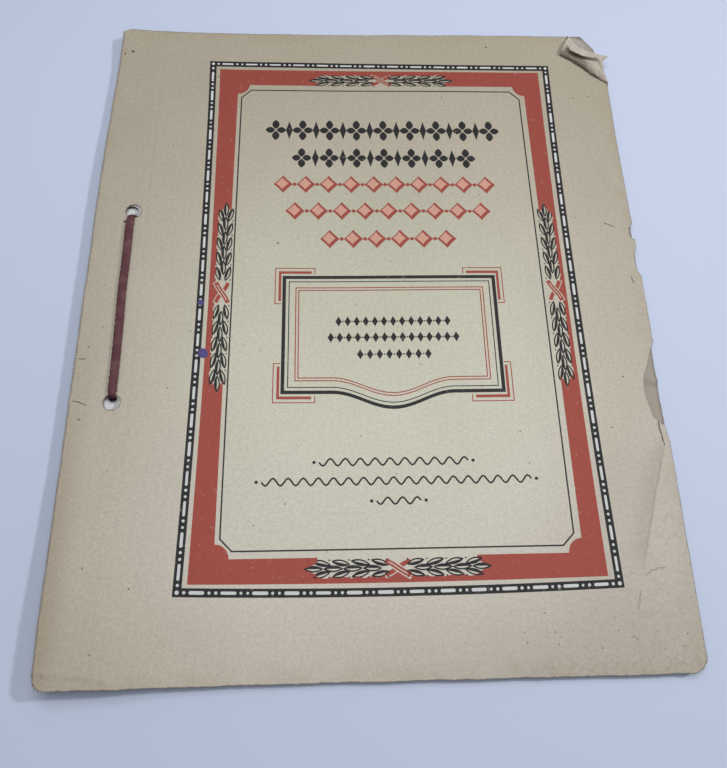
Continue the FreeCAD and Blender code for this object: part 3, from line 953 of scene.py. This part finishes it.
# Red band, with a quarter circle left in each of its inner corners.
band_left, band_top, band_right, band_bottom = 12.8, 12.0, 137.8, 212.5
notch_radius = 4.9
band_hole = []
for corner_x, corner_y, start in ((band_left, band_top, 0.0), (band_left, band_bottom, 270.0),
                                  (band_right, band_bottom, 180.0), (band_right, band_top, 90.0)):
    for i in range(9):
        angle = math.radians(start + 90.0 * i / 8)
        band_hole.append((corner_x + notch_radius * math.cos(angle),
                          corner_y + notch_radius * math.sin(angle)))
red_groups.append(([box_loop(4.5, 4.0, 145.3, 220.3)], [band_hole, *garland_grounds]))

# Thin line inside the band, its corners cut off.
line_left, line_top, line_right, line_bottom = 14.5, 14.8, 135.3, 210.0
cut = 4.1
thin_line = [(line_left + cut, line_top), (line_right - cut, line_top), (line_right, line_top + cut),
             (line_right, line_bottom - cut), (line_right - cut, line_bottom), (line_left + cut, line_bottom),
             (line_left, line_bottom - cut), (line_left, line_top + cut)]
inner_loop, outer_loop = stroke(split_long(thin_line, 6.0), 0.52, True)
black_groups.append(([outer_loop], [inner_loop]))

# Framed panel whose lower side swells down in the middle.
panel_left, panel_top, panel_right, panel_bottom = 33.7, 105.7, 116.7, 154.3
panel_middle = 0.5 * (panel_left + panel_right)
swell_half = 22.5
swell_depth = 6.0


def panel_loop(inset):
    """The panel's frame, a distance in from its outer side."""
    low = panel_bottom - inset
    points = [(panel_left + inset, panel_top + inset), (panel_right - inset, panel_top + inset)]
    points.append((panel_right - inset, low))
    for i in range(25):
        part = 1.0 - i / 12.0
        drop = swell_depth * 0.5 * (1.0 + math.cos(math.pi * part))
        points.append((panel_middle + swell_half * part, low + drop))
    points.append((panel_left + inset, low))
    return points


for groups, inset, width in ((black_groups, 0.0, 1.35), (black_groups, 2.4, 0.36),
                             (red_groups, 5.0, 0.4), (red_groups, 6.1, 0.4)):
    groups.append(([panel_loop(inset)], [panel_loop(inset + width)]))

bracket = [(32.2, 103.7), (44.9, 103.7), (44.9, 104.8), (33.2, 104.8), (33.2, 116.5), (32.2, 116.5)]
bracket_line = stroke([(46.2, 105.0), (46.2, 102.4), (30.9, 102.4), (30.9, 117.7), (33.4, 117.7)], 0.36)
for flip_x in (False, True):
    for flip_y in (False, True):
        for loop in (bracket, bracket_line):
            if flip_x:
                loop = [(panel_left + panel_right - x, y) for x, y in loop]
            if flip_y:
                loop = [(x, panel_top + panel_bottom - y) for x, y in loop]
            red_groups.append(([loop], []))


def lozenge(x, y, half_wide, half_high):
    """A diamond with slightly hollow sides."""
    points = []
    for i in range(16):
        angle = math.tau * i / 16
        reach = 1.0 / (abs(math.cos(angle)) + abs(math.sin(angle))) ** 1.15
        points.append((x + half_wide * reach * math.cos(angle), y + half_high * reach * math.sin(angle)))
    return points


# Heading: rows of four-petalled flowers and slim lozenges.
for y, left, right, half, count in ((36.0, 29.5, 120.5, 5.2, 9), (50.2, 40.5, 109.5, 4.85, 7)):
    pitch = (right - left) / (count - 1)
    reach = 0.56 * half
    filled = []
    for i in range(count):
        x = left + i * pitch
        for angle, petal in ((0.0, 0.78), (90.0, 0.92), (180.0, 0.78), (270.0, 0.92)):
            turn = math.radians(angle)
            filled.append(almond(x + reach * math.cos(turn) * 0.8, y + reach * math.sin(turn),
                                 half * petal, 3.1, angle))
        if i < count - 1:
            filled.append(lozenge(x + pitch / 2, y, 1.45, half * 0.92))
    black_groups.append((filled, []))

# Three rows of red lozenges with pink middles and a heavier lower right side.
pink = []
half = 4.2
for y, left, right, count in ((63.4, 33.1, 116.9, 10), (76.2, 38.1, 113.9, 9), (89.2, 52.1, 98.9, 6)):
    pitch = (right - left) / (count - 1)
    filled = []
    bare = []
    for i in range(count):
        x = left + i * pitch
        filled.append(lozenge(x, y, 3.9, half))
        bare.append(lozenge(x - 0.35, y - 0.35, 2.6, half - 1.4))
        pink.append(lozenge(x - 0.35, y - 0.35, 2.5, half - 1.5))
        if i < count - 1:
            filled.append(circle(x + pitch / 2, y, 0.8, 12))
    red_groups.append((filled, bare))

# Three short rows of small lozenges in the panel.
for y, left, right, count in ((125.2, 55.2, 96.8, 13), (131.8, 52.2, 99.8, 15), (138.7, 63.2, 88.8, 8)):
    pitch = (right - left) / (count - 1)
    filled = []
    for i in range(count):
        filled.append(lozenge(left + i * pitch, y, 1.25, 2.1))
        if i < count - 1:
            filled.append(circle(left + (i + 0.5) * pitch, y, 0.32, 8))
    black_groups.append((filled, []))

# Three waved rules at the foot, each between two dots.
for y, left, right, swing in ((179.8, 47.8, 100.7, 1.3), (186.7, 27.8, 122.7, 1.3), (193.7, 67.8, 83.2, 1.2)):
    waves = round((right - left) / 5.4)
    parts = [i / (waves * 8) for i in range(waves * 8 + 1)]
    line = [(left + (right - left) * part, y + swing * math.sin(math.tau * waves * part)) for part in parts]
    dots = [circle(left - 1.8, y, 0.6, 10), circle(right + 1.8, y, 0.6, 10)]
    black_groups.append(([stroke(line, 0.6), *dots], []))


def ink_material(name, deep, worn):
    """Matt ink, thin and broken where the card's fibres stand up."""
    material, tree, surface, age = aged_material(name)
    colour = blend_colour(times(age["ToneAndSheen"], 0.55), deep, worn)
    broken = step_mask(age["Relief"], 1.5, 1.75, 0.0, 0.35)
    colour = blend_colour(broken, colour, srgb(186, 170, 152))
    rough_paper(tree, surface, colour, age, 0.05, deep)
    return material


film("print_black", black_groups, ink_material("black_ink", srgb(36, 36, 38), srgb(52, 53, 56)))
film("print_red", red_groups, ink_material("red_ink", srgb(145, 68, 58), srgb(172, 86, 77)))
film("print_pink", [(pink, [])], ink_material("pink_ink", srgb(196, 146, 130), srgb(212, 166, 152)))

# The dashes and dots of the border stand out whiter than the aged card.
pale_material = blotted("pale_ink", 700.0, 3.0, srgb(192, 193, 194), srgb(212, 213, 214), 0.75)
film("print_pale", [(pale, [])], pale_material, 0.04)

# Two drops of violet ink fallen on the border, at places on the page.
violet_material = blotted("violet_ink", 900.0, 2.0, srgb(56, 44, 104), srgb(74, 62, 130), 0.6)
drops = []
for x, y, radius, turn in ((-64.4, -0.6, 1.15, 117.5), (-62.4, -21.4, 1.85, 138.3)):
    drop = []
    for angle in (math.tau * i / 24 for i in range(24)):
        wide = radius * (1.0 + 0.07 * math.sin(3.0 * angle + turn) + 0.05 * math.sin(5.0 * angle))
        high = radius * (1.05 + 0.07 * math.sin(2.0 * angle))
        drop.append((x + wide * math.cos(angle), y - high * math.sin(angle)))
    drops.append(drop)
film("ink_drops", [(drops, [])], violet_material, 0.08, list)

# Specks of foxing, a few stray fibres stuck to the card, and a dark line painted as the shade in a slit of
# the torn edge.
foxing_and_slit_shade_material = blotted("foxing_and_slit_shade", 1200.0, 2.0, srgb(52, 44, 38), srgb(104, 88, 72), 0.8)
rng = random.Random(31)
specks = [(-100.9, 121.5, 0.62), (-104.2, 120.2, 0.4), (-95.9, 34.4, 0.55), (55.8, 127.3, 0.4),
          (-22.9, 127.1, 0.25), (33.9, 99.3, 0.3), (92.1, 99.1, 0.28), (98.9, 99.7, 0.35),
          (94.1, -31.8, 0.3), (86.8, -51.5, 0.28), (-99.5, -11.1, 0.25), (-103.8, -19.1, 0.3),
          (-104.1, -46.8, 0.32), (-74.2, -35.1, 0.25)]
for count, x, x_span, y, y_span, least, size_span in ((60, -106.0, 210.0, -130.0, 258.0, 0.1, 0.16),
                                                      (22, 45.0, 58.0, -113.0, -19.0, 0.08, 0.14)):
    for i in range(count):
        specks.append((x + x_span * rng.random(), y + y_span * rng.random(),
                       least + size_span * rng.random()))
marks = []
for x, y, radius in specks:
    turn = math.tau * rng.random()
    mark = []
    for angle in (math.tau * i / 10 for i in range(10)):
        wide = radius * (1.0 + 0.3 * math.sin(2.0 * angle + turn))
        high = radius * (1.0 + 0.25 * math.sin(3.0 * angle + turn))
        mark.append((x + wide * math.cos(angle), y - high * math.sin(angle)))
    marks.append(mark)
for line, width in (([(96.3, 34.8), (97.4, 34.5), (99.0, 33.7), (100.5, 33.0)], 0.28),
                    ([(103.8, 10.2), (103.9, 8.8), (104.4, 7.2)], 0.28),
                    ([(-107.0, -23.5), (-105.6, -23.9), (-104.3, -23.6)], 0.28),
                    ([(-107.2, -39.9), (-105.0, -40.3), (-102.2, -41.6)], 0.28),
                    # A dark stroke painted as the shade in a slit of the torn edge.
                    ([(104.5, -49.2), (104.7, -53.0), (105.0, -58.6)], 0.34)):
    marks.append(stroke(line, width))
film("foxing_and_slit_shade_marks", [([mark], []) for mark in marks], foxing_and_slit_shade_material, 0.06, list)

# Scuffs towards the foot of the open edge, partly wear and partly dark lines painted as the shade of
# soft wrinkles.
scuff_and_wrinkle_shade_material = blotted("scuff_and_wrinkle_shade", 1500.0, 3.0, srgb(128, 119, 104), srgb(172, 164, 150), 0.8)
scuff_and_wrinkle_lines = [[(90.7, -103.4), (92.0, -102.8), (92.9, -101.9), (94.4, -101.8), (95.3, -101.2), (98.0, -101.1)],
          [(88.2, -108.2), (88.0, -109.6), (87.3, -111.0), (87.4, -112.2), (86.1, -114.5)],
          [(82.6, -123.0), (84.0, -122.6), (84.6, -123.2), (84.7, -124.0)],
          [(104.2, -50.0), (104.4, -54.0), (104.7, -57.6)]]
film("scuff_and_wrinkle_shade_marks", [([stroke(scuff_and_wrinkle_shade, 0.36)], []) for scuff_and_wrinkle_shade in scuff_and_wrinkle_lines], scuff_and_wrinkle_shade_material, 0.04, list)


# LACING
# One twisted cord of dark maroon yarn, 2.7 mm thick. It runs down the front between the two holes,
# through every sheet, and is tied behind the back cover with a flat knot and two cut ends.

cord_middle = -93.4
cord_top = 6.05
cord_under = 1.4
cord_bend = 1.2
bend_drop = 0.3
hole_gap = 2.25
upper_run = holes_at[0][1] - hole_gap
lower_run = holes_at[1][1] + hole_gap


def smooth_path(points, step):
    """A smooth curve through points, resampled at an even step."""
    knots = np.array(points, float)
    padded = np.vstack([2 * knots[0] - knots[1], knots, 2 * knots[-1] - knots[-2]])
    curve = []
    for i in range(len(knots) - 1):
        p0, p1, p2, p3 = padded[i:i + 4]
        for part in np.linspace(0.0, 1.0, 24, endpoint=False):
            curve.append(0.5 * (2 * p1 + (p2 - p0) * part + (2 * p0 - 5 * p1 + 4 * p2 - p3) * part ** 2
                                + (3 * p1 - p0 - 3 * p2 + p3) * part ** 3))
    curve.append(knots[-1])
    curve = np.array(curve)
    length = np.concatenate([[0.0], np.cumsum(np.linalg.norm(np.diff(curve, axis=0), axis=1))])
    even = np.linspace(0.0, length[-1], max(2, int(length[-1] / step)) + 1)
    return np.stack([np.interp(even, length, curve[:, axis]) for axis in range(3)], axis=1)


def bend_points(y_middle, z_middle, start, end, x=0.0):
    """A tight quarter bend of the cord, between two angles in degrees."""
    angles = [math.radians(start + (end - start) * i / 4) for i in range(5)]
    return [(x, y_middle + cord_bend * math.cos(a), z_middle + cord_bend * math.sin(a)) for a in angles]


# The cord's way: a cut end, half the knot, up through one hole, along the front, and back to the other end.
low = 0.72
high = 2.06
route = [(2.95, 12.5, 1.37), (2.95, 9.0, 1.37), (2.7, 6.2, 1.3), (1.6, 3.4, low), (2.5, 0.4, low),
         (3.0, -1.6, 1.3), (2.0, -3.2, high), (0.0, -3.7, high), (-2.0, -3.2, high), (-3.0, -1.6, high),
         (-2.5, 0.4, high), (-1.6, 3.4, low), (-0.6, 6.6, 1.38), (0.0, 10.0, cord_under),
         (0.0, 14.0, cord_under), (0.0, 24.0, cord_under)]
route += bend_points(upper_run - cord_bend, cord_under + cord_bend, -90.0, 0.0, 0.1)
route += bend_points(upper_run - cord_bend, cord_top - bend_drop - cord_bend, 0.0, 90.0, -0.1)
route += [(-0.25, 31.0, cord_top), (-0.2, 18.0, cord_top), (-0.35, 4.0, cord_top), (-0.05, -12.0, cord_top),
          (0.1, -28.0, cord_top), (0.05, -35.0, cord_top)]
route += bend_points(lower_run + cord_bend, cord_top - bend_drop - cord_bend, 90.0, 180.0)
route += bend_points(lower_run + cord_bend, cord_under + cord_bend, 180.0, 270.0)
route += [(0.0, -24.0, cord_under), (0.0, -14.0, cord_under), (0.0, -10.0, cord_under), (0.6, -6.6, 1.38),
          (1.6, -3.4, low), (2.5, -0.4, high), (3.0, 1.6, high), (2.0, 3.2, high), (0.0, 3.7, high),
          (-2.0, 3.2, high), (-3.0, 1.6, 1.3), (-2.5, -0.4, low), (-1.6, -3.4, low), (-2.7, -6.2, 1.3),
          (-2.95, -9.0, 1.37), (-2.95, -12.5, 1.37)]
cord_line = smooth_path(route, 0.45)

tangent = np.gradient(cord_line, axis=0)
tangent /= np.linalg.norm(tangent, axis=1)[:, None]
side = np.empty_like(tangent)
guide = np.array((1.0, 0.0, 0.0))
for i, direction in enumerate(tangent):
    guide = guide - direction * (guide @ direction)
    guide /= np.linalg.norm(guide)
    side[i] = guide
other = np.cross(tangent, side)
travel = np.concatenate([[0.0], np.cumsum(np.linalg.norm(np.diff(cord_line, axis=0), axis=1))])

# The cord is pressed flat along the front, in the knot and where it squeezes through the holes.
in_knot = (cord_line[:, 2] < 3.0) * (1.0 - ramp(np.abs(cord_line[:, 1]), 4.2, 7.0))
in_hole = ramp(np.abs(cord_line[:, 1] + 0.65), 35.6, 37.0)
in_front = (cord_line[:, 2] > 5.0) * (1.0 - in_hole)
pressed = np.stack([1.0 + 0.22 * in_front, 1.0 - 0.5 * in_hole,
                    1.0 - 0.48 * in_knot - 0.2 * in_hole - 0.38 * in_front], axis=1)

cord_points = []
cord_faces = []


def add_tube(line, offsets):
    """A closed tube round a line, given the ring of offsets at every point of it."""
    first = len(cord_points)
    sides = offsets.shape[1]
    cord_points.extend((line[:, None, :] + offsets).reshape(-1, 3).tolist())
    for i in range(len(line) - 1):
        for j in range(sides):
            a = first + i * sides + j
            b = first + i * sides + (j + 1) % sides
            cord_faces.append((a, b, b + sides, a + sides))
    last = first + (len(line) - 1) * sides
    cord_faces.append(tuple(first + j for j in reversed(range(sides))))
    cord_faces.append(tuple(last + j for j in range(sides)))


def ring_round(angles, one, two):
    """Directions round a line at some angles, from two directions across it at each point."""
    return np.cos(angles)[None, :, None] * one[:, None, :] + np.sin(angles)[None, :, None] * two[:, None, :]


strand_count = 4
strand_radius = 0.93
strand_offset = 0.42
twist_pitch = 9.0
angles = math.tau * np.arange(12) / 12
ridge = 1.0 + 0.05 * np.sin(5.0 * angles[None, :] + 2.2 * travel[:, None])
strand = strand_radius * ridge[:, :, None] * ring_round(angles, side, other) * pressed[:, None, :]
for k in range(strand_count):
    phase = math.tau * (travel / twist_pitch + k / strand_count)[:, None]
    add_tube(cord_line + strand_offset * pressed * (np.cos(phase) * side + np.sin(phase) * other), strand)

# Loose fibres standing off the yarn.
rng = random.Random(5)
fibre_count = 500
fibre_root = 1.18
fibre_thickness = 0.028
angles = math.tau * np.arange(3) / 3
steps = np.linspace(0.0, 1.0, 5)[:, None]
for i in range(fibre_count):
    at = rng.randrange(4, len(cord_line) - 4)
    turn = math.tau * rng.random()
    out = math.cos(turn) * side[at] + math.sin(turn) * other[at]
    around = np.cross(tangent[at], out)
    length = 0.3 + 0.5 * rng.random()
    lean = 1.6 * (rng.random() - 0.5)
    curl = 0.8 * (rng.random() - 0.5)
    line = 0.32 * steps * out + lean * steps * tangent[at] + curl * steps ** 2 * around
    line = cord_line[at] + fibre_root * out + length * line
    line[:, 2] = np.maximum(line[:, 2], 0.05)
    taper = fibre_thickness * (1.0 - 0.7 * steps[:, :, None])
    add_tube(line, taper * ring_round(angles, around[None], tangent[at][None]))

yarn_material, tree, surface = new_material("maroon_yarn")
place = add_node(tree, "ShaderNodeTexCoord").outputs["Object"]
fluff = noise(tree, 2600.0, 4.0, Vector=place)
patches = step_mask(noise(tree, 160.0, 2.0, Vector=place), 0.4, 0.7, 0.0, 0.5)
yarn_colour = blend_colour(fluff, srgb(58, 32, 40), srgb(112, 72, 78))
yarn_colour = blend_colour(patches, yarn_colour, srgb(122, 90, 90))
tree.links.new(yarn_colour, surface["Base Color"])
bump = add_node(tree, "ShaderNodeBump", {"Height": fluff, "Strength": 0.6, "Distance": 0.0001})
tree.links.new(bump.outputs["Normal"], surface["Normal"])
surface["Roughness"].default_value = 0.85
surface["Specular IOR Level"].default_value = 0.2

above_table = np.maximum(cord_points, (-np.inf, -np.inf, 0.0))
lacing_points = (above_table + (cord_middle, 0.0, 0.0)) * mm
lacing = put_mesh("lacing", lacing_points.tolist(), cord_faces, yarn_material)
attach(lacing, "binding")
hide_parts("lacing_cord", "lacing_knot", "cord_end_upper", "cord_end_lower")
